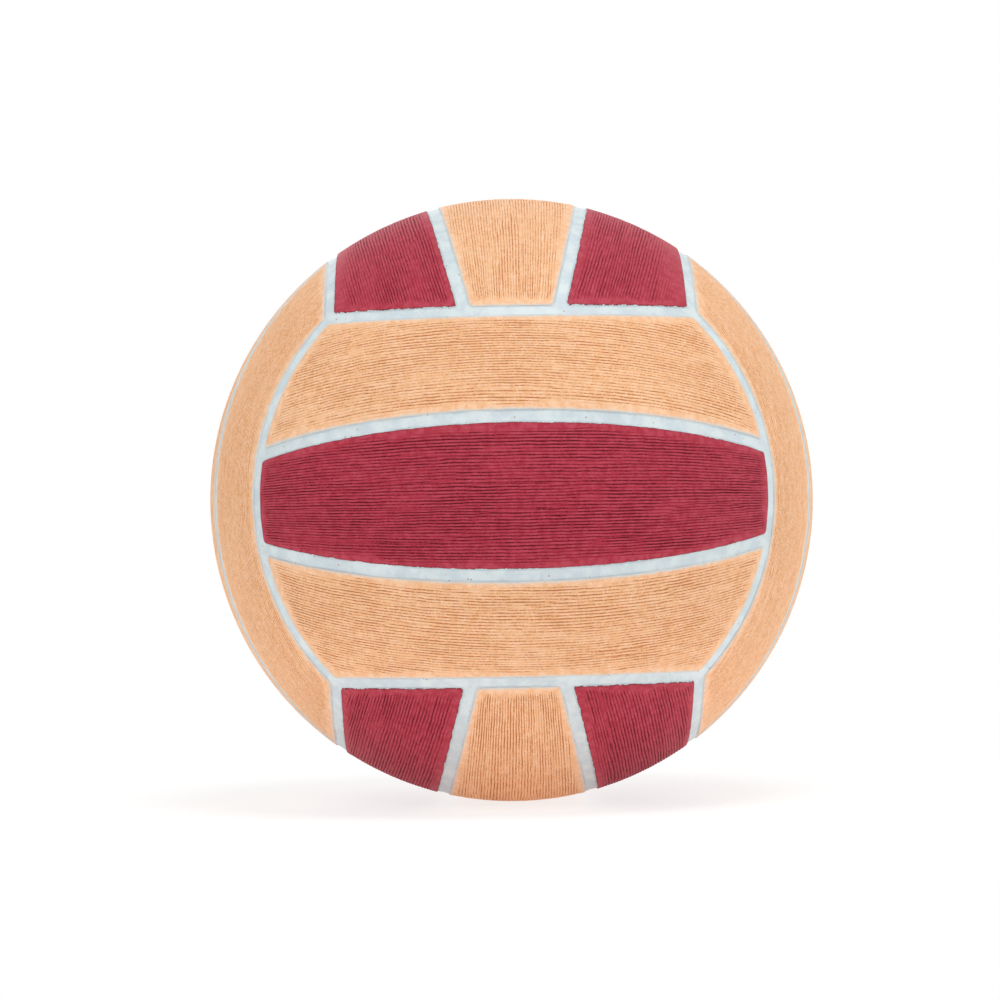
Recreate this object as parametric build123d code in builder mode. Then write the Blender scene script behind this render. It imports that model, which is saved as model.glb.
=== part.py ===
from build123d import *
import os
from math import acos, asin, cos, degrees, pi, radians, sin, sqrt

# A water polo ball of the smaller match size, pumped up. The origin is the centre of the ball, +Z is up,
# -Y is the front and +Y runs out through the valve. Lengths are in millimetres and angles in degrees.

# The layers of the ball, from the outside in
ball_circumference = 660.0
panel_thickness = 1.5
carcass_thickness = 0.4
winding_thickness = 0.4
bladder_thickness = 0.7

# The panels' edges, and the rubber strips that line the grooves between them
seam_width = 4.2
strip_thickness = 1.0
panel_shoulder = 0.35
divider_tilt = 14.2

# The valve housing: a neck through the cover, a flange under the bladder and a stem inside it
mouth_diameter = 9.0
mouth_recess = 0.3
mouth_rounding = 0.3
flange_diameter = 34.0
flange_thickness = 1.4
flange_rim_thickness = 0.5
stem_length = 13.0
stem_root_diameter = 11.5
stem_tip_diameter = 8.0
pocket_diameter = 4.6
pocket_floor = 1.6
outlet_diameter = 2.6
groove_depth = 0.7
groove_height = 2.4
groove_below_mouth = 5.5

# The valve core: a plug that fills the housing's pocket
needle_radius = 1.0
needle_clearance = 0.1
guide_length = 7.0
guide_lead_in = 0.4
core_end_gap = 0.8
slit_width = 0.1
slit_share = 0.6

# How far every cut runs past what it cuts
overrun = 2.0

# The radii of the layers
ball_radius = ball_circumference / (2 * pi)
carcass_radius = ball_radius - panel_thickness
winding_radius = carcass_radius - carcass_thickness
bladder_radius = winding_radius - winding_thickness
bladder_inner_radius = bladder_radius - bladder_thickness

# A face of the ball lies over one side of a cube inside it. The cube's corners are this far, as an angle,
# from the middle of the face, and so is every point of the two seams across the ends of its strips.
face_end_angle = degrees(acos(1 / sqrt(3)))
face_side_angle = 90 - face_end_angle
seam_half_angle = degrees(seam_width / 2 / ball_radius)
cap_angle = face_end_angle - seam_half_angle
belt_angle = face_side_angle - seam_half_angle

# An edge seam is a quarter of a circle, and three of them meet at every corner at equal angles
edge_turn = 90
corner_turn = 120

# A seam strip rises from the carcass to the foot of the panels' rounded shoulders
strip_edge_radius = ball_radius - panel_shoulder
strip_bottom_radius = carcass_radius + strip_thickness

# The faces: name, the way each one looks, the way its strips run, its ends and its rows of panels
faces = [
    ("front", (0, -1, 0), (1, 0, 0), ("left", "right"), ("lower", "middle", "upper")),
    ("back", (0, 1, 0), (-1, 0, 0), ("right", "left"), ("lower", "middle", "upper")),
    ("left", (-1, 0, 0), (0, 0, 1), ("bottom", "top"), ("front", "middle", "back")),
    ("right", (1, 0, 0), (0, 0, 1), ("bottom", "top"), ("back", "middle", "front")),
    ("top", (0, 0, 1), (0, 1, 0), ("front", "back"), ("right", "middle", "left")),
    ("bottom", (0, 0, -1), (0, 1, 0), ("front", "back"), ("left", "middle", "right")),
]

centre = (0, 0, 0)
os.makedirs("parts", exist_ok=True)


def save(piece, name):
    """Label a finished piece and write it to its own file."""
    piece.part.label = name
    export_step(piece.part, "parts/" + name + ".step")


def face_directions(look, run):
    """The ways out of a face, along its strips and across them."""
    outward = Vector(look)
    along = Vector(run)
    return outward, along, outward.cross(along)


def divider_directions(outward, across, side):
    """The way to the middle of a divider seam, and the way square to it, away from the middle row."""
    tilt = radians(divider_tilt)
    middle = outward * cos(tilt) + across * (side * sin(tilt))
    away = across * (side * cos(tilt)) - outward * sin(tilt)
    return middle, away


def polar(radius, angle):
    """The point of a sketch at this radius, and at this angle from the sketch's first axis."""
    return (radius * cos(radians(angle)), radius * sin(radians(angle)))


def ring_slice(plane, inner_radius, outer_radius, start_angle, end_angle):
    """A slice of a ring about the ball's centre."""
    with BuildSketch(plane) as ring:
        with BuildLine():
            outer = CenterArc((0, 0), outer_radius, start_angle, end_angle - start_angle)
            inner = CenterArc((0, 0), inner_radius, start_angle, end_angle - start_angle)
            Line(outer @ 0, inner @ 0)
            Line(outer @ 1, inner @ 1)
        make_face()
    return ring.sketch


def strip_section(plane, middle_angle, foot_half_angle, lip_half_angle):
    """The section of a seam strip: its foot lies on the carcass, and its top is hollow."""
    with BuildSketch(plane) as section:
        with BuildLine():
            foot = CenterArc((0, 0), carcass_radius, middle_angle - foot_half_angle, 2 * foot_half_angle)
            low_lip = polar(strip_edge_radius, middle_angle - lip_half_angle)
            high_lip = polar(strip_edge_radius, middle_angle + lip_half_angle)
            Line(foot @ 0, low_lip)
            ThreePointArc(low_lip, polar(strip_bottom_radius, middle_angle), high_lip)
            Line(high_lip, foot @ 1)
        make_face()
    return section.sketch


def closed_layer(outer_radius, inner_radius):
    """A hollow sphere, built where it is called, with the hole for the valve's neck."""
    revolve(ring_slice(Plane.XY, inner_radius, outer_radius, -90, 90), Axis.Y)
    cut_neck_hole()


def cut_neck_hole():
    """The hole for the valve's neck through the layer that is being built."""
    below_bladder = Plane((0, bladder_inner_radius - overrun, 0), z_dir=Axis.Y.direction)
    with BuildSketch(below_bladder) as hole:
        Circle(mouth_diameter / 2)
    extrude(hole.sketch, amount=ball_radius - bladder_inner_radius + 2 * overrun, mode=Mode.SUBTRACT)


# The cover panels. Each face is a cap of the sphere, cut off along its two sides by a belt and parted into
# three strips by two planes through the centre of the ball.
for face, look, run, ends, rows in faces:
    outward, along, across = face_directions(look, run)
    lengthwise = Plane(centre, x_dir=outward, z_dir=across)
    crosswise = Plane(centre, x_dir=outward, z_dir=along.reverse())
    belt = ring_slice(crosswise, carcass_radius - overrun, ball_radius + overrun, -belt_angle, belt_angle)
    for row, row_name in zip((-1, 0, 1), rows):
        with BuildPart() as panel:
            revolve(ring_slice(lengthwise, carcass_radius, ball_radius, 0, cap_angle), Axis(centre, outward))
            revolve(belt, Axis(centre, across), mode=Mode.INTERSECT)
            for side in (-1, 1):
                middle, away = divider_directions(outward, across, side)
                if row == 0:
                    split(bisect_by=Plane(away * (-seam_width / 2), z_dir=away), keep=Keep.BOTTOM)
                if row == side:
                    split(bisect_by=Plane(away * (seam_width / 2), z_dir=away), keep=Keep.TOP)
            outer_skin = panel.faces().sort_by(SortBy.AREA)[-1]
            fillet(outer_skin.edges(), panel_shoulder)
            if (face, row_name) == ("back", "middle"):
                cut_neck_hole()
                fillet(panel.edges().filter_by(GeomType.CIRCLE).sort_by(Axis.Y)[-1], mouth_rounding)
        save(panel, face + "_" + row_name + "_panel")

# The divider strips between the three panels of a face. Each one turns in the plane of a great circle, and
# the cone of the edge seams cuts its ends.
foot_half_angle = degrees(asin(seam_width / 2 / carcass_radius))
lip_half_angle = degrees(asin(seam_width / 2 / strip_edge_radius))
divider_reach = degrees(acos(cos(radians(face_end_angle)) / cos(radians(divider_tilt))))
for face, look, run, ends, rows in faces:
    outward, along, across = face_directions(look, run)
    lengthwise = Plane(centre, x_dir=outward, z_dir=across)
    between_seams = ring_slice(lengthwise, carcass_radius - overrun, ball_radius + overrun, 0, cap_angle)
    for side, row_name in zip((-1, 1), (rows[0], rows[-1])):
        middle, away = divider_directions(outward, across, side)
        start = middle.rotate(Axis(centre, away), -divider_reach)
        section_plane = Plane(centre, x_dir=start, z_dir=start.cross(away))
        with BuildPart() as divider:
            section = strip_section(section_plane, 0, foot_half_angle, lip_half_angle)
            revolve(section, Axis(centre, away), 2 * divider_reach)
            revolve(between_seams, Axis(centre, outward), mode=Mode.INTERSECT)
        save(divider, face + "_" + row_name + "_divider")

# The edge strips between the faces. Each one is a quarter of a circle about the middle of its face, from
# one corner to the next, and is mitred there against the other two strips of the corner.
for face, look, run, ends, rows in faces:
    outward, along, across = face_directions(look, run)
    for end, end_name in zip((-1, 1), ends):
        start = (along * end).rotate(Axis(centre, outward), -edge_turn / 2)
        section_plane = Plane(centre, x_dir=outward, z_dir=outward.cross(start))
        with BuildPart() as seam:
            section = strip_section(section_plane, face_end_angle, seam_half_angle, seam_half_angle)
            revolve(section, Axis(centre, outward), edge_turn)
            for side in (-1, 1):
                corner = outward + along * end + across * side
                into_strip = along * end - across * side
                for turn in (-1, 1):
                    mitre_way = into_strip.rotate(Axis(centre, corner), turn * (90 - corner_turn / 2))
                    split(bisect_by=Plane(centre, z_dir=mitre_way), keep=Keep.TOP)
        save(seam, face + "_" + end_name + "_seam")

# The three closed layers under the cover
with BuildPart() as carcass:
    closed_layer(carcass_radius, winding_radius)
save(carcass, "carcass")

with BuildPart() as nylon_winding:
    closed_layer(winding_radius, bladder_radius)
save(nylon_winding, "nylon_winding")

with BuildPart() as bladder:
    closed_layer(bladder_radius, bladder_inner_radius)
save(bladder, "bladder")

# The valve lies along +Y. Its sections are drawn in the XY plane, with the distance from the valve's axis
# along X and the distance from the ball's centre along Y.
mouth_radius = mouth_diameter / 2
flange_radius = flange_diameter / 2
stem_root_radius = stem_root_diameter / 2
stem_tip_radius = stem_tip_diameter / 2
pocket_radius = pocket_diameter / 2
outlet_radius = outlet_diameter / 2
needle_hole_radius = needle_radius + needle_clearance

mouth_level = ball_radius - mouth_recess
stem_root_level = sqrt(bladder_inner_radius**2 - stem_root_radius**2) - flange_thickness
stem_tip_level = stem_root_level - stem_length
pocket_floor_level = stem_tip_level + pocket_floor
core_end_level = pocket_floor_level + core_end_gap
guide_top_level = mouth_level - guide_lead_in
guide_end_level = guide_top_level - guide_length

# The groove in the pocket's wall, flat above and sloping below, that keeps the core in its place
groove_radius = pocket_radius + groove_depth
groove_top_level = mouth_level - groove_below_mouth
groove_low_level = groove_top_level - groove_height
retention_groove = [
    (pocket_radius, groove_top_level),
    (groove_radius, groove_top_level),
    (groove_radius, groove_low_level + groove_depth),
    (pocket_radius, groove_low_level),
]

with BuildPart() as valve_housing:
    with BuildSketch(Plane.XY) as housing_section:
        with BuildLine():
            rim_angle = degrees(acos(flange_radius / bladder_inner_radius))
            neck_angle = degrees(acos(mouth_radius / bladder_inner_radius))
            seat = CenterArc((0, 0), bladder_inner_radius, rim_angle, neck_angle - rim_angle)
            rim_bottom = (flange_radius, (seat @ 0).Y - flange_rim_thickness)
            Polyline(
                seat @ 1,
                (mouth_radius, mouth_level),
                (pocket_radius, mouth_level),
                *retention_groove,
                (pocket_radius, pocket_floor_level),
                (outlet_radius, pocket_floor_level),
                (outlet_radius, stem_tip_level),
                (stem_tip_radius, stem_tip_level),
                (stem_root_radius, stem_root_level),
                rim_bottom,
                seat @ 0,
            )
        make_face()
    revolve(axis=Axis.Y)
    mouth_edges = valve_housing.edges().filter_by(GeomType.CIRCLE).group_by(Axis.Y)[-1]
    fillet(mouth_edges.sort_by(SortBy.RADIUS)[-1], mouth_rounding)
save(valve_housing, "valve_housing")

with BuildPart() as valve_core:
    with BuildSketch(Plane.XY) as core_section:
        with BuildLine():
            Polyline(
                (0, guide_end_level),
                (needle_hole_radius, guide_end_level),
                (needle_hole_radius, guide_top_level),
                (needle_hole_radius + guide_lead_in, mouth_level),
                (pocket_radius, mouth_level),
                *retention_groove,
                (pocket_radius, core_end_level),
                (0, core_end_level),
                close=True,
            )
        make_face()
    revolve(axis=Axis.Y)
    # The slit below the guide hole, which the needle spreads and the air pressure shuts again
    with BuildSketch(Plane((0, core_end_level - overrun, 0), z_dir=Axis.Y.direction)):
        Rectangle(pocket_diameter * slit_share, slit_width)
    extrude(amount=guide_end_level - core_end_level + overrun, mode=Mode.SUBTRACT)
save(valve_core, "valve_core")
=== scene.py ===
# %% [markdown]
# A water polo ball
#
# The real ball is a stack of layers. A butyl bladder holds the air, nylon thread is wound over it,
# and a thin rubber carcass closes the winding. Eighteen strips of ridged rubber are cured onto the
# carcass in six faces of three, and a pale strip of rubber fills every groove between them. This
# lesson gives those layers their finish. The frame that is loaded first holds each piece at its
# real place and size, so nothing here is moved to fit.

# %% Load the frame and keep its box
import math

import bpy
import numpy as np
from mathutils import Matrix, Quaternion, Vector


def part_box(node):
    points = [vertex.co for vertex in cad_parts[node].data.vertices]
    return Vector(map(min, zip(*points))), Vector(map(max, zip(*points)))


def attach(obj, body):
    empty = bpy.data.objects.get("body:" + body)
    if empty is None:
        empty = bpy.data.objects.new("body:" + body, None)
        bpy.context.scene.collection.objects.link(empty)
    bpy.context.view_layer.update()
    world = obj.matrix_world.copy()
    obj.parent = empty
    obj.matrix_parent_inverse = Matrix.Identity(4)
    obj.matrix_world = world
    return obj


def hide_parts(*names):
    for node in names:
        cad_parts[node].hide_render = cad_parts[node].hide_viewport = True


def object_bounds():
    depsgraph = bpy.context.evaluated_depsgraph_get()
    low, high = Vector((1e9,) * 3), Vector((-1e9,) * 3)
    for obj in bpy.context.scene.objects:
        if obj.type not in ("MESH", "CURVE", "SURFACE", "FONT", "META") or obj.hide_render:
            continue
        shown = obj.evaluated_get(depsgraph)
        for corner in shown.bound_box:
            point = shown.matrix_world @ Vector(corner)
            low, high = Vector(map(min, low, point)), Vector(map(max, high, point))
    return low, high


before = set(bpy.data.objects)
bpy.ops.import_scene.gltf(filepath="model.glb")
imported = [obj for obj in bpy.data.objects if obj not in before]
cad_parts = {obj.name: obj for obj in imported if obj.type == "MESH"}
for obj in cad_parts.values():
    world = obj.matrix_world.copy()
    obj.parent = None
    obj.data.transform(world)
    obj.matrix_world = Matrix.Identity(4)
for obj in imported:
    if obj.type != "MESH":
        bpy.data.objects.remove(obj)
frame_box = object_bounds()
print("nodes in the frame:", len(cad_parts))

# %% [markdown]
# The sizes of the ball come from the boxes of its nodes. The pattern comes from a cube inside the
# ball: each face of the ball covers one side of that cube, and the seams between faces run from
# corner to corner of it. Every point of such a seam is equally far, as an angle, from the middle of
# the face whose strips end there.

# %% Sizes of the ball and of its pattern
mm = 0.001
ball_radius = (frame_box[1].x - frame_box[0].x) / 2
carcass_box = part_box("carcass")
carcass_radius = (carcass_box[1].x - carcass_box[0].x) / 2
seam_width = 4.2 * mm
half_seam = seam_width / 2
panel_shoulder = 0.35 * mm
groove_depth = 0.5 * mm
mouth_radius = 4.5 * mm
divider_tilt = math.radians(14.2)
face_end_angle = math.acos(1 / math.sqrt(3))
seam_half_angle = half_seam / ball_radius
cap_angle = face_end_angle - seam_half_angle
belt_angle = math.pi / 2 - face_end_angle - seam_half_angle
print("radius of the ball in mm:", round(ball_radius / mm, 3))
print("rubber over the carcass in mm:", round((ball_radius - carcass_radius) / mm, 3))

# %% [markdown]
# The camera comes first, so that every later step can be judged through it. In the photograph the
# ball fills six tenths of the frame. The way its seams bend gives the distance, close to twelve
# ball radii, and shows that the ball is turned by about a degree. The ball stays straight in the
# frame here, so the camera makes that small turn instead.

# %% Camera
frame_px = 1000
middle_px = 511.5
focal_px = 3512
sensor_width = 36
camera_distance = 11.7 * ball_radius
ball_turn = Vector((math.radians(-0.8), math.radians(-1.08), math.radians(0.85)))
turned = Quaternion(ball_turn.normalized(), ball_turn.length).to_matrix().transposed().to_4x4()
pan = math.atan((middle_px - frame_px / 2) / focal_px)
upright = Matrix.Rotation(math.pi / 2, 4, "X")

camera_data = bpy.data.cameras.new("photo_camera")
camera_data.sensor_width = sensor_width
camera_data.lens = focal_px * sensor_width / frame_px
camera_data.clip_end = 50
camera = bpy.data.objects.new("photo_camera", camera_data)
bpy.context.scene.collection.objects.link(camera)
back_off = Matrix.Translation((0, -camera_distance, 0))
camera.matrix_world = turned @ back_off @ Matrix.Rotation(pan, 4, "Z") @ upright
bpy.context.scene.camera = camera
bpy.context.scene.view_settings.view_transform = "Standard"
print("lens in mm:", round(camera_data.lens, 1), "distance in m:", round(camera_distance, 3))

# %% [markdown]
# The faces of the ball are listed as a maker would lay them out: the way a face looks, the way its
# strips run, and the names of its ends and rows. Each face then has its own three directions, and
# all the shapes below are worked out once in those directions and turned into place.

# %% The six faces
faces = [
    ("front", (0, -1, 0), (1, 0, 0), ("left", "right"), ("lower", "middle", "upper")),
    ("back", (0, 1, 0), (-1, 0, 0), ("right", "left"), ("lower", "middle", "upper")),
    ("left", (-1, 0, 0), (0, 0, 1), ("bottom", "top"), ("front", "middle", "back")),
    ("right", (1, 0, 0), (0, 0, 1), ("bottom", "top"), ("back", "middle", "front")),
    ("top", (0, 0, 1), (0, 1, 0), ("front", "back"), ("right", "middle", "left")),
    ("bottom", (0, 0, -1), (0, 1, 0), ("front", "back"), ("left", "middle", "right")),
]


def face_frame(look, run):
    """A matrix whose rows point along the face, across it and out of it."""
    return np.array([run, np.cross(look, run), look], float)


def slot_of(face, row):
    """Crimson for the middle of front and back and the outer rows of top and bottom, else peach."""
    if face in ("left", "right"):
        return "peach_rubber"
    swapped = face in ("top", "bottom")
    return "peach_rubber" if (row == 0) == swapped else "crimson_rubber"


print("panels:", sum(len(rows) for *_, rows in faces))

# %% [markdown]
# Moulded rubber is never perfectly even. The unevenness here is smooth noise: random numbers on a
# lattice with eased values in between. Each use has its own seed, so every run gives the same ball.

# %% Smooth noise
lattice_size = 61


def soft_noise(places, cells, seed):
    """Smooth noise from -1 to 1 at points in two or three dimensions, in cells of these sizes."""
    places = np.asarray(places) / np.asarray(cells)
    dimensions = places.shape[1]
    table = np.random.default_rng(seed).uniform(-1, 1, (lattice_size,) * dimensions)
    low = np.floor(places).astype(int)
    share = places - low
    share = share * share * (3 - 2 * share)
    total = np.zeros(len(places))
    for corner in np.ndindex((2,) * dimensions):
        corner = np.array(corner)
        weight = np.prod(np.where(corner == 1, share, 1 - share), axis=1)
        total += weight * table[tuple(((low + corner) % lattice_size).T)]
    return total


def eased(value, start, end):
    """A smooth step from 0 at start to 1 at end."""
    share = np.clip((value - start) / (end - start), 0, 1)
    return share * share * (3 - 2 * share)


wobble_size = 0.09 * mm
wobble_cell = 2.4 * mm
wobble_seeds = (1, 2, 3)


def wobbled(points):
    """Points shifted a little along the surface, so that no edge of the rubber is a ruled line."""
    cells = (wobble_cell,) * 3
    shift = np.stack([soft_noise(points, cells, seed) for seed in wobble_seeds], axis=1)
    out = points / np.linalg.norm(points, axis=1, keepdims=True)
    shift -= np.sum(shift * out, axis=1, keepdims=True) * out
    return points + wobble_size * shift


print("noise at the centre:", round(float(soft_noise([[0.5, 0.5]], (1, 1), 1)[0]), 3))

# %% [markdown]
# A panel's outline is two divider grooves, or one divider groove and the edge of the belt, closed
# by the rounded ends of the face. The function below gives the distance of any point to that
# outline, with the corners rounded as the photograph shows them. The panels use it for their
# rounded shoulders and the strips use it for the hollow of the groove, so the two always meet.

# %% Distance to the outline of a panel
corner_rounding = 1.1 * mm


def border_distances(points, row):
    """How far points in the frame of a face lie inside a panel's ends and its two sides."""
    across = points[:, 1] * (1 if row == 0 else row)
    outward = points[:, 2]
    lengths = np.linalg.norm(points, axis=1)
    to_end = ball_radius * (cap_angle - np.arccos(np.clip(outward / lengths, -1, 1)))
    reach = ball_radius / lengths
    tilted = outward * math.sin(divider_tilt) * reach
    up = across * math.cos(divider_tilt) * reach
    if row == 0:
        return to_end, tilted - up - half_seam, tilted + up - half_seam
    to_belt = ball_radius * (belt_angle - np.arcsin(np.clip(across / lengths, -1, 1)))
    return to_end, up - tilted - half_seam, to_belt


def depth_inside(points, row):
    """The distance to a panel's outline with its corners rounded, and negative outside it."""
    inset = corner_rounding - np.stack(border_distances(points, row), axis=1)
    beyond = np.linalg.norm(np.maximum(inset, 0), axis=1)
    return corner_rounding - beyond - np.minimum(inset.max(axis=1), 0)


def surface_depth(inside):
    """How deep the rubber lies under the surface: a round shoulder, then the hollow groove."""
    near = np.clip(panel_shoulder - inside, 0, panel_shoulder)
    shoulder = panel_shoulder - np.sqrt(panel_shoulder**2 - near**2)
    out = np.clip(-inside / half_seam, 0, 1)
    return shoulder + (groove_depth - panel_shoulder) * (1 - (1 - out) ** 2)


deepest = float(surface_depth(np.array([-half_seam]))[0])
print("depth in the middle of a groove in mm:", round(deepest / mm, 2))

# %% [markdown]
# A panel starts as a flat grid, the way a strip of rubber is cut from a sheet. Its points are laid
# on the ball row by row, so that the rows run roughly as the ridges will. Across the ridges the
# points lie close together, and along them further apart. Towards the ends of an outer panel the
# ridges cross the rows at a slant, so the points lie closer there as well.

# %% Points of a panel
ridge_step = 0.21 * mm
slanted_ridge_step = 0.255 * mm
length_step = 0.9 * mm
slant_step = 0.5 * mm
slant_zone = 36 * mm
valve_step = 0.35 * mm
valve_zone = 9 * mm
shoulder_places = 5
beside_shoulder = np.array([0.55, 0.8, 1.15, 1.6]) * mm
end_search_rounds = 40


def even_steps(start, end, step):
    """Places from start up to end, about one step apart and without the end."""
    return np.linspace(start, end, max(1, round((end - start) / step)), endpoint=False)


def places_over(length, step, with_valve=False, with_slant=False):
    """Places from 0 to 1: close at the shoulders, at the valve and where the ridges slant."""
    turn = np.radians(np.linspace(0, 90, shoulder_places))
    edge = np.concatenate([panel_shoulder * (1 - np.cos(turn)), beside_shoulder])
    start = edge[-1] + step / 2
    middle = length / 2
    if with_valve:
        half = np.concatenate([even_steps(start, middle - valve_zone, step),
                               even_steps(middle - valve_zone, middle, valve_step)])
    elif with_slant:
        half = np.concatenate([even_steps(start, slant_zone, slant_step),
                               even_steps(slant_zone, middle, step)])
    else:
        half = even_steps(start, middle, step)
    first = np.concatenate([edge, half])
    return np.concatenate([first, [middle], length - first[::-1]]) / length


def tilt_limits(row, turn):
    """The two sides of a panel as tilts about the long axis of its face, at this turn along it."""
    seam_tilt = np.arcsin(half_seam / (ball_radius * np.cos(turn)))
    if row == 0:
        return seam_tilt - divider_tilt, divider_tilt - seam_tilt
    return divider_tilt + seam_tilt, np.arcsin(np.minimum(math.sin(belt_angle) / np.cos(turn), 1))


def panel_directions(row, lengthwise, crosswise):
    """Directions in the frame of a face, for places from 0 to 1 along a panel and across it."""
    end_turn = np.full(len(crosswise), math.asin(1 / math.sqrt(3)))
    for _ in range(end_search_rounds):
        low, high = tilt_limits(row, end_turn)
        tilt = low + (high - low) * crosswise
        end_turn = (end_turn + np.arccos(np.minimum(math.cos(cap_angle) / np.cos(tilt), 1))) / 2
    turn = end_turn * (2 * lengthwise - 1)
    low, high = tilt_limits(row, turn)
    tilt = low + (high - low) * crosswise
    inner = np.cos(turn)
    return np.stack([np.sin(turn), inner * np.sin(tilt), inner * np.cos(tilt)], axis=1)


panel_length = 2 * ball_radius * math.acos(math.cos(cap_angle) / math.cos(divider_tilt))
middle_width = 2 * (ball_radius * divider_tilt - half_seam)
outer_width = ball_radius * (belt_angle - divider_tilt) - half_seam
print("rows across a middle panel:", len(places_over(middle_width, ridge_step)))
print("columns along a panel:", len(places_over(panel_length, length_step)))

# %% [markdown]
# The work on the meshes takes a few tools. Some read and write whole meshes as arrays. The others
# make the flat grid, extrude it to give the rubber its thickness, and turn its faces outward.

# %% Tools for meshes


def values_of(items, name, kind, columns=1):
    """One value of every item as an array, or one row of values where there are more columns."""
    values = np.empty(len(items) * columns, kind)
    items.foreach_get(name, values)
    return values.reshape(-1, columns) if columns > 1 else values


def coordinates(mesh):
    """The points of a mesh as an array with three columns."""
    return values_of(mesh.vertices, "co", float, 3)


def place(mesh, points):
    """Move the points of a mesh to these places."""
    mesh.vertices.foreach_set("co", np.asarray(points, float).ravel())
    mesh.update()


def select_only(mesh, vertices=None, edges=None):
    """Select these points or edges and nothing else, before edit mode is entered."""
    none = np.zeros(len(mesh.vertices), bool)
    mesh.vertices.foreach_set("select", none if vertices is None else vertices)
    mesh.edges.foreach_set("select", np.zeros(len(mesh.edges), bool) if edges is None else edges)
    mesh.polygons.foreach_set("select", np.zeros(len(mesh.polygons), bool))
    bpy.context.tool_settings.mesh_select_mode = (edges is None, edges is not None, False)


def flat_grid(name, columns, rows):
    """A flat grid primitive, and the column and row of each of its points."""
    bpy.ops.object.select_all(action="DESELECT")
    bpy.ops.mesh.primitive_grid_add(x_subdivisions=columns - 1, y_subdivisions=rows - 1, size=2)
    grid = bpy.context.object
    grid.name = name
    grid.data.name = name
    points = coordinates(grid.data)
    column = np.rint((points[:, 0] + 1) / 2 * (columns - 1)).astype(int)
    row = np.rint((points[:, 1] + 1) / 2 * (rows - 1)).astype(int)
    return grid, column, row


def thickened(piece):
    """Extrude a whole sheet and lay the copy on the carcass. The piece is then closed all round."""
    bpy.ops.object.mode_set(mode="EDIT")
    bpy.ops.mesh.select_all(action="SELECT")
    bpy.ops.mesh.extrude_region()
    bpy.ops.object.mode_set(mode="OBJECT")
    copied = values_of(piece.data.vertices, "select", bool)
    points = coordinates(piece.data)
    lengths = np.linalg.norm(points, axis=1, keepdims=True)
    place(piece.data, np.where(copied[:, None], points / lengths * carcass_radius, points))
    return copied


def turn_outward(crease):
    """Turn the faces of the active piece outward, and shade it smooth except over sharper edges."""
    bpy.ops.object.mode_set(mode="EDIT")
    bpy.ops.mesh.select_all(action="SELECT")
    bpy.ops.mesh.normals_make_consistent(inside=False)
    bpy.ops.object.mode_set(mode="OBJECT")
    bpy.ops.object.shade_smooth_by_angle(angle=crease)


print("tools for meshes are ready")

# %% [markdown]
# Only three different panels are needed: a middle one, an outer one, and a middle one with the hole
# for the valve. Round the valve the grid lines are bent onto circles and the points inside are
# deleted. Nobody sees the underside of a panel, so most of its rows are dissolved.

# %% Three master panels
hole_share = 0.9
hole_fade = 2.6
underside_rows = 24
panel_crease = math.radians(50)


def opened_for_valve(directions, column, row, columns, rows):
    """Grid lines bent round the valve's mouth, and the points that the mouth takes away."""
    x = ball_radius * np.arcsin(directions[:, 0])
    y = ball_radius * np.arcsin(directions[:, 1])
    middle_row = row == rows // 2
    middle_column = column == columns // 2
    beside = np.abs(column - columns // 2)
    above = np.abs(row - rows // 2)
    hole_columns = beside[middle_row & (np.abs(x) <= hole_share * mouth_radius)].max()
    hole_rows = above[middle_column & (np.abs(y) <= hole_share * mouth_radius)].max()
    half_x = np.abs(x[middle_row & (beside == hole_columns)]).max()
    half_y = np.abs(y[middle_column & (above == hole_rows)]).max()
    square = np.maximum(np.maximum(np.abs(x) / half_x, np.abs(y) / half_y), 1)
    radius = np.maximum(np.hypot(x, y), 1e-9)
    ring = mouth_radius + (square - 1) * hole_share * mouth_radius
    blend = eased(square, 1, hole_fade)
    x = x * (blend + (1 - blend) * ring / radius)
    y = y * (blend + (1 - blend) * ring / radius)
    bent = np.stack([np.sin(x / ball_radius), np.sin(y / ball_radius)], axis=1)
    outward = np.sqrt(1 - np.sum(bent**2, axis=1))
    near = square < hole_fade
    directions = np.where(near[:, None], np.column_stack([bent, outward]), directions)
    return directions, (beside < hole_columns) & (above < hole_rows)


def mouth_rounding(points):
    """How deep the rubber round the valve's mouth is rounded off."""
    beside = np.hypot(points[:, 0], points[:, 1]) - mouth_radius
    near = np.clip(panel_shoulder - beside, 0, panel_shoulder)
    return panel_shoulder - np.sqrt(panel_shoulder**2 - near**2)


def master_panel(name, row_side, with_valve=False):
    """One closed panel in the frame of its face, smooth on top."""
    width = middle_width if row_side == 0 else outer_width
    slanted = row_side != 0
    lengthwise = places_over(panel_length, length_step, with_valve, slanted)
    crosswise = places_over(width, slanted_ridge_step if slanted else ridge_step)
    columns, rows = len(lengthwise), len(crosswise)
    panel, column, row = flat_grid(name, columns, rows)
    directions = panel_directions(row_side, lengthwise[column], crosswise[row])
    if with_valve:
        directions, taken = opened_for_valve(directions, column, row, columns, rows)
    depth = surface_depth(depth_inside(directions * ball_radius, row_side))
    if with_valve:
        depth = np.maximum(depth, mouth_rounding(directions * ball_radius))
    place(panel.data, directions * (ball_radius - depth)[:, None])
    rows_of_points = panel.data.attributes.new("row", "INT", "POINT")
    rows_of_points.data.foreach_set("value", row.astype(np.int32))
    if with_valve:
        select_only(panel.data, vertices=taken)
        bpy.ops.object.mode_set(mode="EDIT")
        bpy.ops.mesh.delete(type="VERT")
        bpy.ops.object.mode_set(mode="OBJECT")
    thin_underside(panel, thickened(panel), rows)
    turn_outward(panel_crease)
    panel.data.attributes.remove(panel.data.attributes["row"])
    return panel


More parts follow.
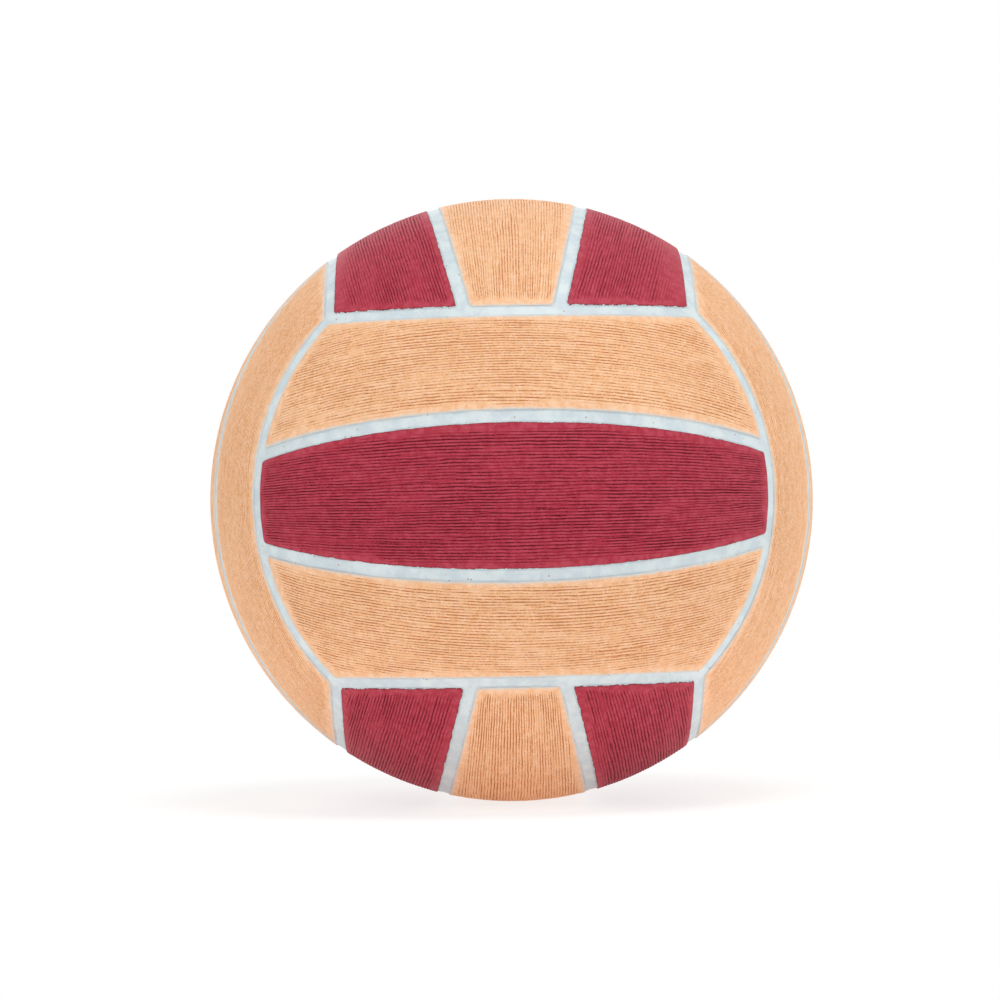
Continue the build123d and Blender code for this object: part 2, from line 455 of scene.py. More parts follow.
def thin_underside(panel, copied, rows):
    """Dissolve most rows of the side that lies on the carcass."""
    mesh = panel.data
    row = values_of(mesh.attributes["row"].data, "value", np.int32)
    first, second = values_of(mesh.edges, "vertices", np.int32, 2).T
    inner_row = (row[first] > 0) & (row[first] < rows - 1) & (row[first] % underside_rows != 0)
    going = copied[first] & copied[second] & (row[first] == row[second]) & inner_row
    centres = np.linalg.norm(values_of(mesh.polygons, "center", float, 3), axis=1)
    corners = values_of(mesh.polygons, "loop_total", np.int32)
    under = np.repeat(centres < carcass_radius + panel_shoulder / 4, corners)
    faces_under = np.zeros(len(mesh.edges), int)
    np.add.at(faces_under, values_of(mesh.loops, "edge_index", np.int32)[under], 1)
    select_only(mesh, edges=going & (faces_under == 2))
    bpy.ops.object.mode_set(mode="EDIT")
    bpy.ops.mesh.dissolve_edges(use_verts=True)
    bpy.ops.object.mode_set(mode="OBJECT")


masters = {
    "middle": master_panel("middle_panel_master", 0),
    "outer": master_panel("outer_panel_master", 1),
    "valve": master_panel("valve_panel_master", 0, with_valve=True),
}
for kind, master in masters.items():
    print(kind, "master panel:", len(master.data.polygons), "faces")

# %% [markdown]
# The ridges are what a player grips. On the real ball they are pressed by a mould whose lines were
# cut by hand, so they stand in even lanes but no two are alike: they wander a little, thin out in
# places, and join their neighbours here and there. They are real geometry, because they catch the
# light and show in the outline.
#
# The lanes of a middle panel draw together a little towards its ends. Those of an outer panel run
# straight, like the lanes of a sheet that is laid askew, and the mould cuts them off at the groove
# and at the belt. Two sets of lanes of slightly different width take turns, and where one hands
# over to the other, a lane ends or forks. A few panels are worn: their ridges are lower, and on the
# two crimson ones of the top they fade out early towards the belt.

# %% Lanes, unevenness and worn panels
ridge_relief = 0.31 * mm
narrow_lane = 0.98 * mm
wide_lane = 1.09 * mm
valley_sharpness = 2.2
lane_tilt = math.radians(17)
lane_skew = math.radians(-1)
sets_meet = 0.1
single_level = 0.84
single_limits = (0.15, 1.3)
group_level = 0.92
group_limits = (0.25, 1.2)
side_margin = (0.8 * mm, 3.6 * mm)
end_margin = (1.2 * mm, 4.4 * mm)
valve_pad = (2.1 * mouth_radius, 2.7 * mouth_radius)

# Each kind of unevenness has a size, the length and the width of its patches, and a number for its
# seed.
unevenness = {
    "wander": (0.22 * mm, 24 * mm, 7 * mm, 0),
    "waver": (0.10 * mm, 4.2 * mm, 1.5 * mm, 1),
    "sets": (1.0, 34 * mm, 8 * mm, 2),
    "single": (0.38, 4.5 * mm, 0.95 * mm, 3),
    "group": (0.24, 19 * mm, 8 * mm, 4),
    "drift": (1.0 * mm, 13 * mm, 5 * mm, 5),
    "streak": (0.22, 28 * mm, 1.05 * mm, 6),
    "own_end": (0.9 * mm, 9 * mm, 1.05 * mm, 7),
}

# A panel has a share of the full relief, and a width over which its ridges fade in from the belt.
sound_fade = 0.8 * mm
sound_panel = (1.0, sound_fade)
worn_panels = {
    "top_left_panel": (0.78, 10 * mm),
    "top_right_panel": (0.76, 14 * mm),
    "top_middle_panel": (0.82, sound_fade),
    "front_upper_panel": (0.90, sound_fade),
}
print("lanes over a middle panel:", round(middle_width / narrow_lane))

# %% The relief of the ridges


def lanes(points, row_side):
    """Each point's place along its panel and across the lanes, in metres."""
    x, y, z = (points / np.linalg.norm(points, axis=1, keepdims=True)).T
    if row_side == 0:
        return ball_radius * np.arcsin(x), ball_radius * (np.arcsin(y) + np.arctan2(y, z)) / 2
    off = y * math.cos(lane_tilt) - z * math.sin(lane_tilt)
    along = x * math.cos(lane_skew) + off * math.sin(lane_skew)
    across = off * math.cos(lane_skew) - x * math.sin(lane_skew)
    return ball_radius * np.arcsin(along), ball_radius * np.arcsin(across)


def valley(lane, width):
    """1 in the bottom of a valley, 0 on the crests."""
    return (0.5 + 0.5 * np.cos(2 * math.pi * lane / width)) ** valley_sharpness


def uneven(flat, kind, seed):
    """One kind of unevenness, at places along and across the lanes."""
    size, length, width, number = unevenness[kind]
    return size * soft_noise(flat, (length, width), seed + number)


def ridge_parts(points, row_side, seed, round_valve, wear):
    """Each point's place across the lanes, its share of the wide set, and the mould's pressure."""
    length, lane = lanes(points, row_side)
    flat = np.column_stack([length, lane])
    wander = uneven(flat, "wander", seed) + uneven(flat, "waver", seed)
    handover = eased(uneven(flat, "sets", seed), -sets_meet, sets_meet)
    single = single_level + uneven(flat, "single", seed) + uneven(flat, "streak", seed)
    group = group_level + uneven(flat, "group", seed)
    drift = uneven(flat, "drift", seed)
    height, fade = wear
    to_end, one_side, other_side = border_distances(points, row_side)
    margin = eased(np.minimum(one_side, other_side) + drift, *side_margin)
    margin *= height * eased(other_side + drift, 0, fade)
    margin *= eased(to_end + drift + uneven(flat, "own_end", seed), *end_margin)
    if round_valve:
        margin *= eased(np.hypot(points[:, 0], points[:, 1]), *valve_pad)
    strength = np.clip(single, *single_limits) * np.clip(group, *group_limits) * margin
    return lane + wander, handover, strength


def relief_of(lane, handover, strength):
    """How deep each point lies in the relief, from 0 on a crest or a smooth margin to about 1."""
    wide, narrow = valley(lane, wide_lane), valley(lane, narrow_lane)
    return (handover * wide + (1 - handover) * narrow) * strength


print("depth of a full valley in mm:", round(ridge_relief * float(relief_of(0, 1, 1)) / mm, 2))

# %% [markdown]
# The finishes are built from nodes. A few small functions add the nodes that come back again and
# again, and link them.

# %% Tools for nodes
colour_mix_inputs = (0, 6, 7)
colour_mix_output = 2

# Each pattern of noise has its scale, detail and roughness.
patterns = {
    "patches": (420, 3, 0.5),
    "breaks": (1250, 2, 0.6),
    "clouds": (45, 3, 0.5),
    "grain": (2400, 2, 0.7),
    "pebble": (3200, 2, 0.5),
    "slow_edge": (260, 2, 0.5),
    "fast_edge": (1500, 2, 0.5),
    "streaks": (170, 3, 0.6),
    "drifts": (60, 2, 0.5),
    "clusters": (130, 1, 0.5),
    "lumps": (700, 3, 0.5),
}


def add_node(tree, kind, **settings):
    """A new shader node with these settings."""
    node = tree.nodes.new("ShaderNode" + kind)
    for name, value in settings.items():
        setattr(node, name, value)
    return node


def new_group(name, inputs, outputs):
    """An empty node group. Inputs are (name, kind, default) and outputs are (name, kind)."""
    group = bpy.data.node_groups.new(name, "ShaderNodeTree")
    for label, kind, default in inputs:
        socket = group.interface.new_socket(label, in_out="INPUT", socket_type="NodeSocket" + kind)
        socket.default_value = default
    for label, kind in outputs:
        group.interface.new_socket(label, in_out="OUTPUT", socket_type="NodeSocket" + kind)
    return group, group.nodes.new("NodeGroupInput"), group.nodes.new("NodeGroupOutput")


def math_node(tree, operation, first, second=None, third=None, clamp=False):
    """A Math node on numbers or sockets, and its result."""
    node = add_node(tree, "Math", operation=operation, use_clamp=clamp)
    for socket, value in zip(node.inputs, (first, second, third)):
        if isinstance(value, (int, float)):
            socket.default_value = value
        elif value is not None:
            tree.links.new(value, socket)
    return node.outputs[0]


def mixed(tree, factor, first, second, blend="MIX"):
    """A colour mix of sockets or plain colours, and its result."""
    node = add_node(tree, "Mix", data_type="RGBA", blend_type=blend)
    for index, value in zip(colour_mix_inputs, (factor, first, second)):
        if isinstance(value, bpy.types.NodeSocket):
            tree.links.new(value, node.inputs[index])
        else:
            node.inputs[index].default_value = value
    return node.outputs[colour_mix_output]


def noise_node(tree, coordinates_socket, pattern):
    """One of the patterns of noise on these coordinates, and its value."""
    node = add_node(tree, "TexNoise")
    for name, value in zip(("Scale", "Detail", "Roughness"), patterns[pattern]):
        node.inputs[name].default_value = value
    tree.links.new(coordinates_socket, node.inputs["Vector"])
    return node.outputs[0]


def object_coordinates(tree):
    """The object coordinates, which stay fixed on the piece."""
    return add_node(tree, "TexCoord").outputs["Object"]


def stored(tree, name):
    """A number stored on the points of the mesh."""
    return add_node(tree, "Attribute", attribute_name=name).outputs["Fac"]


def ramp(tree, value, low, high, start=0.0, end=1.0):
    """A smooth ramp of a value from low to high onto start to end."""
    node = add_node(tree, "MapRange", interpolation_type="SMOOTHSTEP")
    tree.links.new(value, node.inputs["Value"])
    for name, number in (("From Min", low), ("From Max", high), ("To Min", start), ("To Max", end)):
        node.inputs[name].default_value = number
    return node.outputs[0]


def blended(tree, share, first, second, output):
    """Blend two shaders by a share, as the surface of this output."""
    blend = add_node(tree, "MixShader")
    for socket, value in zip(blend.inputs, (share, first.outputs[0], second.outputs[0])):
        tree.links.new(value, socket)
    tree.links.new(blend.outputs[0], tree.nodes[output].inputs["Surface"])


print("tools for nodes are ready")

# %% [markdown]
# Nearly every finish is a rubber, so the effects that they share are node groups. One group turns
# the relief into colour: dirt and painted shade darken the valleys, and wear and a painted
# highlight lighten the crests. The lanes and the distance to the panel's edge are stored on the
# points of the mesh, and the groups work the relief out again from them. That keeps every valley
# crisp and the colour tied to the surface.

# %% Shared effects
edge_raggedness = 0.9


def relief_value(tree):
    """The relief from the lanes stored on the mesh, with the same sum as the shape itself."""
    lane = stored(tree, "lane")
    sets = []
    for width in (narrow_lane, wide_lane):
        turn = math_node(tree, "MULTIPLY", lane, 2 * math.pi * mm / width)
        wave = math_node(tree, "MULTIPLY_ADD", math_node(tree, "COSINE", turn), 0.5, 0.5)
        sets.append(math_node(tree, "POWER", wave, valley_sharpness))
    narrow, wide = sets
    step = math_node(tree, "SUBTRACT", wide, narrow)
    both = math_node(tree, "MULTIPLY_ADD", step, stored(tree, "handover"), narrow)
    return math_node(tree, "MULTIPLY", both, stored(tree, "strength"))


def make_ridge_shade():
    """Colour by relief: dark broken lines of dirt and painted shade in the valleys, plain rubber,
    and crests lighter with wear and a painted highlight.
    """
    colour = (1, 1, 1, 1)
    group, given, result = new_group(
        "ridge_shade",
        [("Rubber", "Color", colour), ("Valley", "Color", colour), ("Crest", "Color", colour)],
        [("Color", "Color"), ("Roughness", "Float")],
    )
    relief = relief_value(group)
    place_in = object_coordinates(group)
    patchy = noise_node(group, place_in, "patches")
    breaks = ramp(group, noise_node(group, place_in, "breaks"), 0.3, 0.7, 0.45, 1.5)
    # Dirt and painted shade darken the valleys, broken up by noise.
    low = ramp(group, math_node(group, "MULTIPLY", relief, breaks), 0.14, 0.85)
    # Wear and a painted highlight lighten the crests, in patches.
    crests = ramp(group, relief, 0.32, 0.0)
    wear_and_highlight = math_node(group, "MULTIPLY", crests, ramp(group, patchy, 0.3, 0.7))
    body = mixed(group, wear_and_highlight, given.outputs["Rubber"], given.outputs["Crest"])
    shaded = mixed(group, low, body, given.outputs["Valley"])
    group.links.new(shaded, result.inputs["Color"])
    group.links.new(ramp(group, relief, 0.0, 0.6, 0.56, 0.78), result.inputs["Roughness"])
    return group


def make_mottle():
    """Uneven mixing of the pigment: soft cloudy patches and a fine grain of light and dark."""
    group, given, result = new_group(
        "rubber_mottle",
        [("Color", "Color", (1, 1, 1, 1)), ("Clouds", "Float", 0.05), ("Grain", "Float", 0.05)],
        [("Color", "Color")],
    )
    place_in = object_coordinates(group)
    clouds = math_node(group, "SUBTRACT", noise_node(group, place_in, "clouds"), 0.5)
    grain = math_node(group, "SUBTRACT", noise_node(group, place_in, "grain"), 0.5)
    factor = math_node(group, "MULTIPLY_ADD", clouds, given.outputs["Clouds"], 1.0)
    factor = math_node(group, "MULTIPLY_ADD", grain, given.outputs["Grain"], factor)
    level = add_node(group, "CombineColor")
    for socket in level.inputs:
        group.links.new(factor, socket)
    shaded = mixed(group, 1.0, given.outputs["Color"], level.outputs[0], "MULTIPLY")
    group.links.new(shaded, result.inputs["Color"])
    return group


def make_pebble():
    """The fine pebble of the mould's blasted surface, as a height."""
    group, given, result = new_group(
        "rubber_pebble", [("Scale", "Float", 1500.0)], [("Height", "Float")]
    )
    place_in = object_coordinates(group)
    cells = add_node(group, "TexVoronoi", feature="SMOOTH_F1")
    group.links.new(place_in, cells.inputs["Vector"])
    group.links.new(given.outputs["Scale"], cells.inputs["Scale"])
    fine = noise_node(group, place_in, "pebble")
    height = math_node(group, "MULTIPLY_ADD", fine, 0.6, cells.outputs["Distance"])
    group.links.new(height, result.inputs["Height"])
    return group


def make_specks():
    """Scattered tiny specks: a few cells of a cell pattern, each with a small dot in it."""
    group, given, result = new_group(
        "specks", [("Scale", "Float", 700.0), ("Share", "Float", 0.1)], [("Mask", "Float")]
    )
    cells = add_node(group, "TexVoronoi", feature="F1")
    group.links.new(object_coordinates(group), cells.inputs["Vector"])
    group.links.new(given.outputs["Scale"], cells.inputs["Scale"])
    dot = ramp(group, cells.outputs["Distance"], 0.30, 0.18)
    pick = add_node(group, "SeparateColor")
    group.links.new(cells.outputs["Color"], pick.inputs[0])
    chosen = math_node(group, "LESS_THAN", pick.outputs[0], given.outputs["Share"])
    group.links.new(math_node(group, "MULTIPLY", dot, chosen), result.inputs["Mask"])
    return group


def make_bleed():
    """The edge of a panel: a dark rim of painted shade, and the strip's rubber crept over it in a
    ragged line.
    """
    colour = (1, 1, 1, 1)
    group, given, result = new_group(
        "seam_bleed",
        [("Color", "Color", colour), ("Strip", "Color", colour), ("Rim", "Color", colour),
         ("Shade", "Float", 0.5), ("Reach", "Float", 0.2), ("Softness", "Float", 0.1)],
        [("Color", "Color")],
    )
    place_in = object_coordinates(group)
    edge = stored(group, "edge")
    slow = math_node(group, "SUBTRACT", noise_node(group, place_in, "slow_edge"), 0.5)
    fast = math_node(group, "SUBTRACT", noise_node(group, place_in, "fast_edge"), 0.5)
    ragged = math_node(group, "MULTIPLY_ADD", slow, edge_raggedness, edge)
    ragged = math_node(group, "MULTIPLY_ADD", fast, edge_raggedness, ragged)
    # The dark rim is a painted shade where the panel's shoulder rounds down into the groove.
    rim = math_node(group, "MULTIPLY", ramp(group, ragged, 0.5, 0.15), given.outputs["Shade"])
    rim_shaded = mixed(group, rim, given.outputs["Color"], given.outputs["Rim"])
    inside = math_node(group, "SUBTRACT", ragged, given.outputs["Reach"])
    kept = math_node(group, "DIVIDE", inside, given.outputs["Softness"])
    kept = ramp(group, kept, -1, 1)
    shaded = mixed(group, kept, given.outputs["Strip"], rim_shaded)
    group.links.new(shaded, result.inputs["Color"])
    return group


effects = {
    "ridge": make_ridge_shade(),
    "mottle": make_mottle(),
    "pebble": make_pebble(),
    "specks": make_specks(),
    "bleed": make_bleed(),
}
print("shared effects:", ", ".join(sorted(effects)))

# %% [markdown]
# Each rubber is a Principled shader fed by those groups. The panels are dull and a little uneven in
# colour. Along the peach panels the pale rubber has spread in a soft fringe, over a faint painted
# shade at the rim. The crimson ones keep a sharp edge with a thin dark rim of painted shade.

# %% Rubber of the panels
mint = (0.66, 0.745, 0.77, 1)

# Each set gives the plain rubber, the dirt and painted shade of the valleys, and the worn crests
# with their painted highlight.
peach_colours = (0.90, 0.50, 0.265, 1), (0.57, 0.20, 0.065, 1), (0.96, 0.63, 0.41, 1)
crimson_colours = (0.410, 0.026, 0.051, 1), (0.13, 0.005, 0.013, 1), (0.51, 0.060, 0.095, 1)


def place_effect(tree, name, **values):
    """A shared effect placed in a material, with its own plain values."""
    node = tree.nodes.new("ShaderNodeGroup")
    node.node_tree = effects[name]
    for label, value in values.items():
        node.inputs[label.capitalize()].default_value = value
    return node


def new_material(name, roughness, specular):
    """A material with an empty Principled shader."""
    material = bpy.data.materials.new(name)
    material.use_nodes = True
    tree = material.node_tree
    shader = tree.nodes["Principled BSDF"]
    shader.inputs["Roughness"].default_value = roughness
    shader.inputs["Specular IOR Level"].default_value = specular
    return material, tree, shader


def add_bump(tree, shader, height, distance, strength):
    """A bump from a height, in front of the shader."""
    bump = add_node(tree, "Bump")
    bump.inputs["Distance"].default_value = distance
    bump.inputs["Strength"].default_value = strength
    tree.links.new(height, bump.inputs["Height"])
    tree.links.new(bump.outputs[0], shader.inputs["Normal"])


def panel_rubber(name, rubber, valley_colour, crest, **edge):
    """The finish of a ridged panel, with the values of its edge."""
    material, tree, shader = new_material(name, 0.6, 0.22)
    ridge = place_effect(tree, "ridge", rubber=rubber, valley=valley_colour, crest=crest)
    mottle = place_effect(tree, "mottle", clouds=0.08, grain=0.55)
    bleed = place_effect(tree, "bleed", strip=mint, rim=valley_colour, **edge)
    tree.links.new(ridge.outputs["Color"], mottle.inputs["Color"])
    tree.links.new(mottle.outputs["Color"], bleed.inputs["Color"])
    tree.links.new(bleed.outputs["Color"], shader.inputs["Base Color"])
    tree.links.new(ridge.outputs["Roughness"], shader.inputs["Roughness"])
    pebble = place_effect(tree, "pebble", scale=1300.0)
    add_bump(tree, shader, pebble.outputs["Height"], 0.12 * mm, 0.7)
    return material


# Both edges carry the painted shade of the rim: faint on the peach panels, strong on the crimson
# ones.
soft_fringe = {"shade": 0.1, "reach": 0.3, "softness": 0.85}
sharp_edge_rim_shade = {"shade": 0.75, "reach": 0.05, "softness": 0.09}
materials = {
    "peach_rubber": panel_rubber("peach_rubber", *peach_colours, **soft_fringe),
    "crimson_rubber": panel_rubber("crimson_rubber", *crimson_colours, **sharp_edge_rim_shade),
}
print("panel rubbers:", ", ".join(materials))

# %% [markdown]
# The pale strips are smoother. They turn greyer along both sides of the groove, in drifting
# patches, and crumbs of darker rubber that were caught in the mould lie there too.

# %% Rubber of the strips
deep_mint = (0.61, 0.70, 0.74, 1)
light_mint = (0.72, 0.80, 0.815, 1)
groove_side_grey = (0.43, 0.50, 0.54, 1)
grey_crumb = (0.16, 0.16, 0.16, 1)
red_crumb = (0.40, 0.17, 0.19, 1)


def strip_rubber(name):
    """The rubber of the grooves: cloudy, greyer along its sides, with crumbs of darker rubber."""
    material, tree, shader = new_material(name, 0.5, 0.3)
    place_in = object_coordinates(tree)
    edge = stored(tree, "edge")
    streaks = ramp(tree, noise_node(tree, place_in, "streaks"), 0.35, 0.65)
    cloudy = mixed(tree, streaks, deep_mint, light_mint)
    # Greyer towards both sides of the groove, in drifting patches.
    sides = ramp(tree, edge, -0.9, 0.0)
    drifting = ramp(tree, noise_node(tree, place_in, "drifts"), 0.35, 0.65, 0.1, 0.75)
    side_grey_share = math_node(tree, "MULTIPLY", sides, drifting)
    side_greyed = mixed(tree, side_grey_share, cloudy, groove_side_grey)
    mottle = place_effect(tree, "mottle", clouds=0.08, grain=0.14)
    tree.links.new(side_greyed, mottle.inputs["Color"])
    crumbs = place_effect(tree, "specks", scale=1600.0, share=0.22)
    red = place_effect(tree, "specks", scale=1000.0, share=0.02)
    clusters = ramp(tree, noise_node(tree, place_in, "clusters"), 0.46, 0.6)
    beside = math_node(tree, "MULTIPLY", ramp(tree, edge, -1.3, -0.3), clusters)
    crumb_mask = math_node(tree, "MULTIPLY", crumbs.outputs["Mask"], beside)
    crumbed = mixed(tree, crumb_mask, mottle.outputs["Color"], grey_crumb)
    stained = mixed(tree, red.outputs["Mask"], crumbed, red_crumb)
    tree.links.new(stained, shader.inputs["Base Color"])
    add_bump(tree, shader, noise_node(tree, place_in, "lumps"), 0.2 * mm, 0.5)
    return material


materials["mint_rubber"] = strip_rubber("mint_rubber")
print("strip rubber:", materials["mint_rubber"].name)

# %% [markdown]
# Eighteen panels are copied from the three masters. Each copy has its own mesh, is pressed with its
# own relief, and is turned to its face. An outer panel of the other side is the same panel turned
# half round.

# %% The eighteen panels


def store(mesh, name, values):
    """Keep one number for each point of a mesh, for the materials to read."""
    attribute = mesh.attributes.new(name, "FLOAT", "POINT")
    attribute.data.foreach_set("value", values.astype(np.float32))


def finish_piece(piece, node, slot):
    """Give a new piece its finish, hang it under the root and hide the node that it stands for."""
    piece.data.materials.clear()
    piece.data.materials.append(materials[slot])
    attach(piece, "root")
    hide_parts(node)


def ridged_panel(face, directions, row_side, row_name, seed):
    """One panel with its own ridges, in place."""
    node = face + "_" + row_name + "_panel"
    round_valve = node == "back_middle_panel"
    kind = "valve" if round_valve else ("middle" if row_side == 0 else "outer")
    slot = slot_of(face, row_side)
    panel = masters[kind].copy()
    panel.data = masters[kind].data.copy()
    panel.name = panel.data.name = node + "_rubber"
    bpy.context.scene.collection.objects.link(panel)
    points = coordinates(panel.data)
    master_side = abs(row_side)
    lengths = np.linalg.norm(points, axis=1, keepdims=True)
    on_top = lengths[:, 0] > carcass_radius + panel_shoulder
    parts = np.zeros((3, len(points)))
    wear = worn_panels.get(node, sound_panel)
    parts[:, on_top] = ridge_parts(points[on_top], master_side, seed, round_valve, wear)
    lane, handover, strength = parts
    relief = relief_of(lane, handover, strength)
    edge = depth_inside(points, master_side) / mm
    points = points * (1 - ridge_relief * relief[:, None] / lengths)
    if row_side < 0:
        points[:, :2] *= -1
    place(panel.data, wobbled(points @ directions))
    stored_values = {"lane": lane / mm, "handover": handover, "strength": strength, "edge": edge}
    for name, values in stored_values.items():
        store(panel.data, name, values)
    finish_piece(panel, node, slot)
    return panel


panels = []
for number, (face, look, run, ends, rows) in enumerate(faces):
    for row_side, row_name in zip((-1, 0, 1), rows):
        seed = 100 * (number + 1) + 10 * (row_side + 1)
        panels.append(ridged_panel(face, face_frame(look, run), row_side, row_name, seed))
for master in masters.values():
    bpy.data.objects.remove(master)
print("panels made:", len(panels), "with", sum(len(p.data.polygons) for p in panels), "faces")

# %% [markdown]
# The strips between the panels are poured into the grooves and stay a little hollow. Each one is a
# grid again, laid along its groove. Its height comes from the distance to the nearest panel, so the
# hollows of two grooves run into each other where they meet.

# %% The strips in the grooves
strip_step = 1.1 * mm
strip_columns = 13
strip_crease = math.radians(40)
lump_size = 0.05 * mm
lump_cell = 2.7 * mm
lump_seed = 7


def nearest_panel(points):
    """How far points in the frame of the ball lie inside the nearest panel, negative outside."""
    nearest = np.full(len(points), -1.0)
    for face, look, run, ends, rows in faces:
        local = points @ face_frame(look, run).T
        for row_side in (-1, 0, 1):
            nearest = np.maximum(nearest, depth_inside(local, row_side))
    return nearest


def seam_directions(end, lengthwise, width):
    """A quarter turn about the middle of a face, mitred at both corners of the cube."""
    mitre = np.abs(width) * half_seam / math.sqrt(3) / (ball_radius * math.sin(face_end_angle))
    turn = (math.pi / 4 - mitre) * lengthwise
    lean = face_end_angle + width * seam_half_angle
    aside = np.sin(lean)
    return np.stack([end * aside * np.cos(turn), aside * np.sin(turn), np.cos(lean)], axis=1)


def divider_directions(side, lengthwise, width):
    """A great circle between two rows of panels, up to the edge strips at both ends."""
    off = width * seam_half_angle
    inner = np.sqrt(1 - off**2)
    cap_height = math.cos(cap_angle) + off * math.sin(divider_tilt)
    turn = np.arccos(cap_height / (inner * math.cos(divider_tilt))) * lengthwise
    along = inner * np.sin(turn)
    out = inner * np.cos(turn)
    across = side * (out * math.sin(divider_tilt) + off * math.cos(divider_tilt))
    outward = out * math.cos(divider_tilt) - off * math.sin(divider_tilt)
    return np.stack([along, across, outward], axis=1)


def groove_strip(node, directions_of, side, face_directions, length):
    """One strip of pale rubber, laid in its groove."""
    rows = round(length / strip_step)
    strip, column, row = flat_grid(node + "_rubber", strip_columns, rows)
    width = np.sin(np.linspace(-math.pi / 2, math.pi / 2, strip_columns))[column]
    lengthwise = np.linspace(-1, 1, rows)[row]
    directions = directions_of(side, lengthwise, width) @ face_directions
    inside = np.minimum(nearest_panel(directions * ball_radius), 0)
    lumps = lump_size * soft_noise(directions * ball_radius, (lump_cell,) * 3, lump_seed)
    depth = surface_depth(inside) - lumps * eased(-inside, 0, half_seam / 2)
    place(strip.data, directions * (ball_radius - depth)[:, None])
    thickened(strip)
    turn_outward(strip_crease)
    points = wobbled(coordinates(strip.data))
    store(strip.data, "edge", nearest_panel(points) / mm)
    place(strip.data, points)
    finish_piece(strip, node, "mint_rubber")
    return strip


strips = []
seam_length = ball_radius * math.sin(face_end_angle) * math.pi / 2
for face, look, run, ends, rows in faces:
    directions = face_frame(look, run)
    for side, end_name, row_name in zip((-1, 1), ends, (rows[0], rows[2])):
        seam = face + "_" + end_name + "_seam"
        divider = face + "_" + row_name + "_divider"
        strips.append(groove_strip(seam, seam_directions, side, directions, seam_length))
        strips.append(groove_strip(divider, divider_directions, side, directions, panel_length))
print("strips made:", len(strips), "with", sum(len(s.data.polygons) for s in strips), "faces")

# %% [markdown]
# The inner layers and the valve keep the shapes that the frame gives them. Their finishes still
# follow the real materials: thread wound every way over the bladder, glossy black butyl, and the
# matte black rubber of the valve.

# %% Finishes of the inner layers and of the valve
winding_turns = ((0, 0, 0), (0.9, 0.3, 0.5), (0.4, 1.2, 1.0))
winding_scale = 240
winding_waver = 0.6
thread_shadow = (0.42, 0.40, 0.34, 1)
thread_light = (0.80, 0.79, 0.74, 1)
carcass_tan = (0.50, 0.44, 0.36, 1)
butyl_black = (0.022, 0.022, 0.024, 1)
valve_black = (0.030, 0.030, 0.032, 1)
core_black = (0.055, 0.053, 0.050, 1)


def plain_rubber(name, colour, roughness, specular, pebble_scale, pebble_height):
    """A plain moulded rubber with a fine grain."""
    material, tree, shader = new_material(name, roughness, specular)
    mottle = place_effect(tree, "mottle", color=colour, clouds=0.2, grain=0.2)
    tree.links.new(mottle.outputs["Color"], shader.inputs["Base Color"])
    pebble = place_effect(tree, "pebble", scale=pebble_scale)
    add_bump(tree, shader, pebble.outputs["Height"], pebble_height, 0.6)
    return material


def wound_thread(name):
    """Nylon thread in three windings that cross each other."""
    material, tree, shader = new_material(name, 0.45, 0.5)
    place_in = object_coordinates(tree)
    windings = []
    for turn in winding_turns:
        turned_place = add_node(tree, "Mapping", vector_type="POINT")
        turned_place.inputs["Rotation"].default_value = turn
        tree.links.new(place_in, turned_place.inputs["Vector"])
        threads = add_node(tree, "TexWave", wave_type="BANDS", wave_profile="SIN")
        threads.inputs["Scale"].default_value = winding_scale
        threads.inputs["Distortion"].default_value = winding_waver
        tree.links.new(turned_place.outputs[0], threads.inputs["Vector"])
        windings.append(threads.outputs["Fac"])
    upper = math_node(tree, "MAXIMUM", windings[0], windings[1])
    top = math_node(tree, "MAXIMUM", upper, windings[2])
    colour = mixed(tree, ramp(tree, top, 0.3, 1.0), thread_shadow, thread_light)
    tree.links.new(colour, shader.inputs["Base Color"])
    add_bump(tree, shader, top, 0.2 * mm, 0.8)
    return material


node_finishes = {
    "carcass": plain_rubber("carcass_rubber", carcass_tan, 0.7, 0.3, 900.0, 0.1 * mm),
    "nylon_winding": wound_thread("nylon_thread"),
    "bladder": plain_rubber("bladder_rubber", butyl_black, 0.32, 0.5, 500.0, 0.04 * mm),
    "valve_housing": plain_rubber("valve_rubber", valve_black, 0.48, 0.45, 1600.0, 0.05 * mm),
    "valve_core": plain_rubber("valve_core_rubber", core_black, 0.6, 0.4, 2000.0, 0.05 * mm),
}
for node, material in node_finishes.items():
    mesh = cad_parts[node].data
    mesh.materials.clear()
    mesh.materials.append(material)
print("finished nodes:", ", ".join(node_finishes))

# %% [markdown]
# The ball rests on a pale floor. To the camera, a white veil covers it, thin under the ball and
# full further away, so the soft shadow stays and the rest runs into the white background.

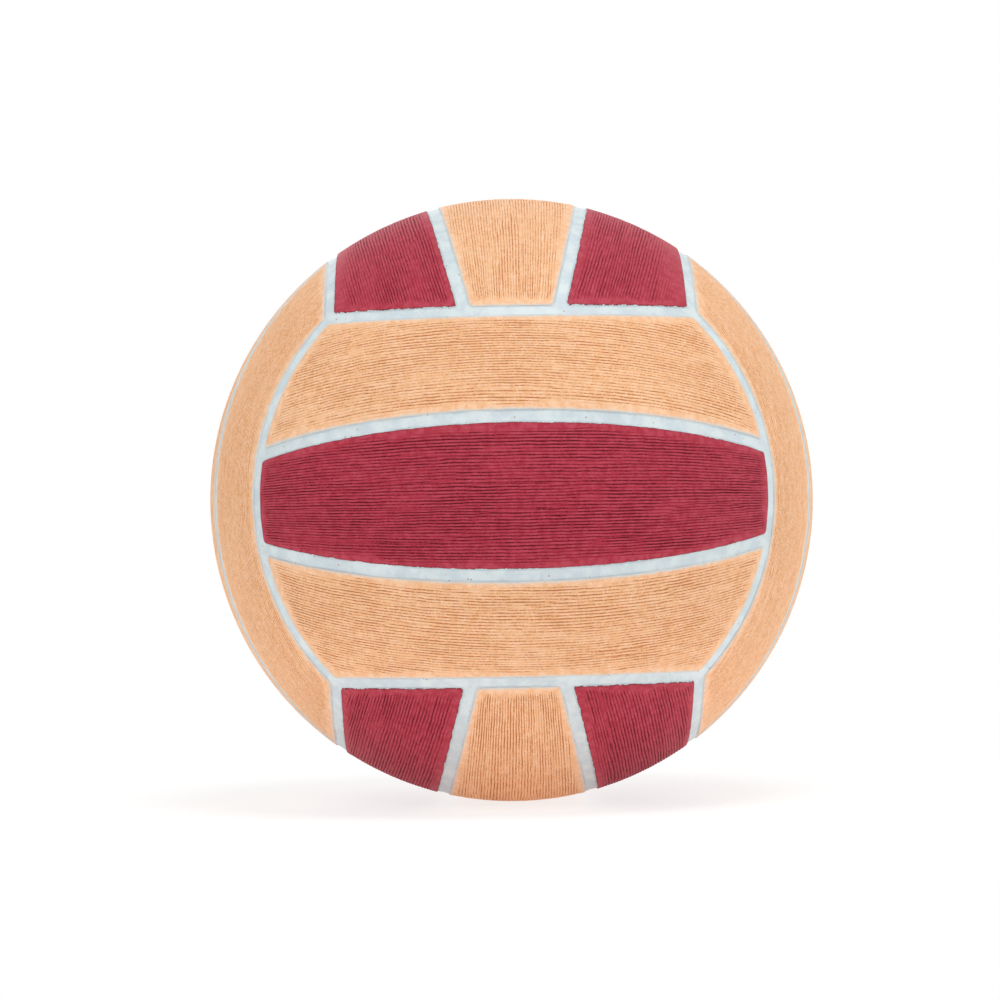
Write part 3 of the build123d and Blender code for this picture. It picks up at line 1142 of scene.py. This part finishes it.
# %% Floor
floor_radius = 12
floor_corners = 96
bpy.ops.object.select_all(action="DESELECT")
bpy.ops.mesh.primitive_circle_add(
    vertices=floor_corners, radius=floor_radius, fill_type="NGON", location=(0, 0, -ball_radius)
)
floor = bpy.context.object
floor.name = "floor"
floor_material, floor_tree, floor_shader = new_material("floor_white", 0.9, 0)
floor_shader.inputs["Base Color"].default_value = (0.86, 0.86, 0.86, 1)
floor_shader.inputs["Emission Color"].default_value = (1, 1, 1, 1)
floor_shader.inputs["Emission Strength"].default_value = 0.33
veil = add_node(floor_tree, "Emission")
seen = add_node(floor_tree, "LightPath").outputs["Is Camera Ray"]
away = add_node(floor_tree, "VectorMath", operation="LENGTH")
floor_tree.links.new(object_coordinates(floor_tree), away.inputs[0])
veil_share = ramp(floor_tree, away.outputs["Value"], 0.05, 0.5, 0.64, 1.0)
veil_share = math_node(floor_tree, "MULTIPLY", seen, veil_share)
blended(floor_tree, veil_share, floor_shader, veil, "Material Output")
floor.data.materials.append(floor_material)
print("floor level in mm:", round(floor.location.z / mm, 2))

# %% [markdown]
# The world looks white to the camera and to mirrored rays, but lights the ball at a plain level.
# Four soft lamps do the rest: one in front, one above, a weak one at the right and a weak one
# behind.

# %% World and lamps
world = bpy.data.worlds.new("studio")
world.use_nodes = True
bpy.context.scene.world = world
world_tree = world.node_tree
plain_light = world_tree.nodes["Background"]
plain_light.inputs["Color"].default_value = (1, 1, 1, 1)
plain_light.inputs["Strength"].default_value = 0.46
white_view = add_node(world_tree, "Background")
white_view.inputs["Color"].default_value = (1, 1, 1, 1)
rays = add_node(world_tree, "LightPath").outputs
looking = math_node(world_tree, "MAXIMUM", rays["Is Camera Ray"], rays["Is Glossy Ray"])
looking = math_node(world_tree, "MAXIMUM", looking, rays["Is Transmission Ray"])
blended(world_tree, looking, plain_light, white_view, "World Output")

# Each lamp has its name, its place, its width and its power.
lamp_table = [
    ("front_softbox", (-0.9, -1.2, 0.9), 0.8, 4.2),
    ("top_softbox", (0.2, -0.5, 1.5), 0.6, 9.5),
    ("right_fill", (1.3, -0.25, 0.25), 0.7, 2.2),
    ("back_softbox", (-0.2, 1.5, 0.5), 0.9, 2.2),
]
for name, location, size, power in lamp_table:
    lamp_data = bpy.data.lights.new(name, "AREA")
    lamp_data.shape = "DISK"
    lamp_data.size = size
    lamp_data.energy = power
    lamp = bpy.data.objects.new(name, lamp_data)
    lamp.location = location
    lamp.rotation_euler = (-Vector(location)).to_track_quat("-Z", "Y").to_euler()
    bpy.context.scene.collection.objects.link(lamp)
print("lamps:", ", ".join(name for name, *_ in lamp_table))
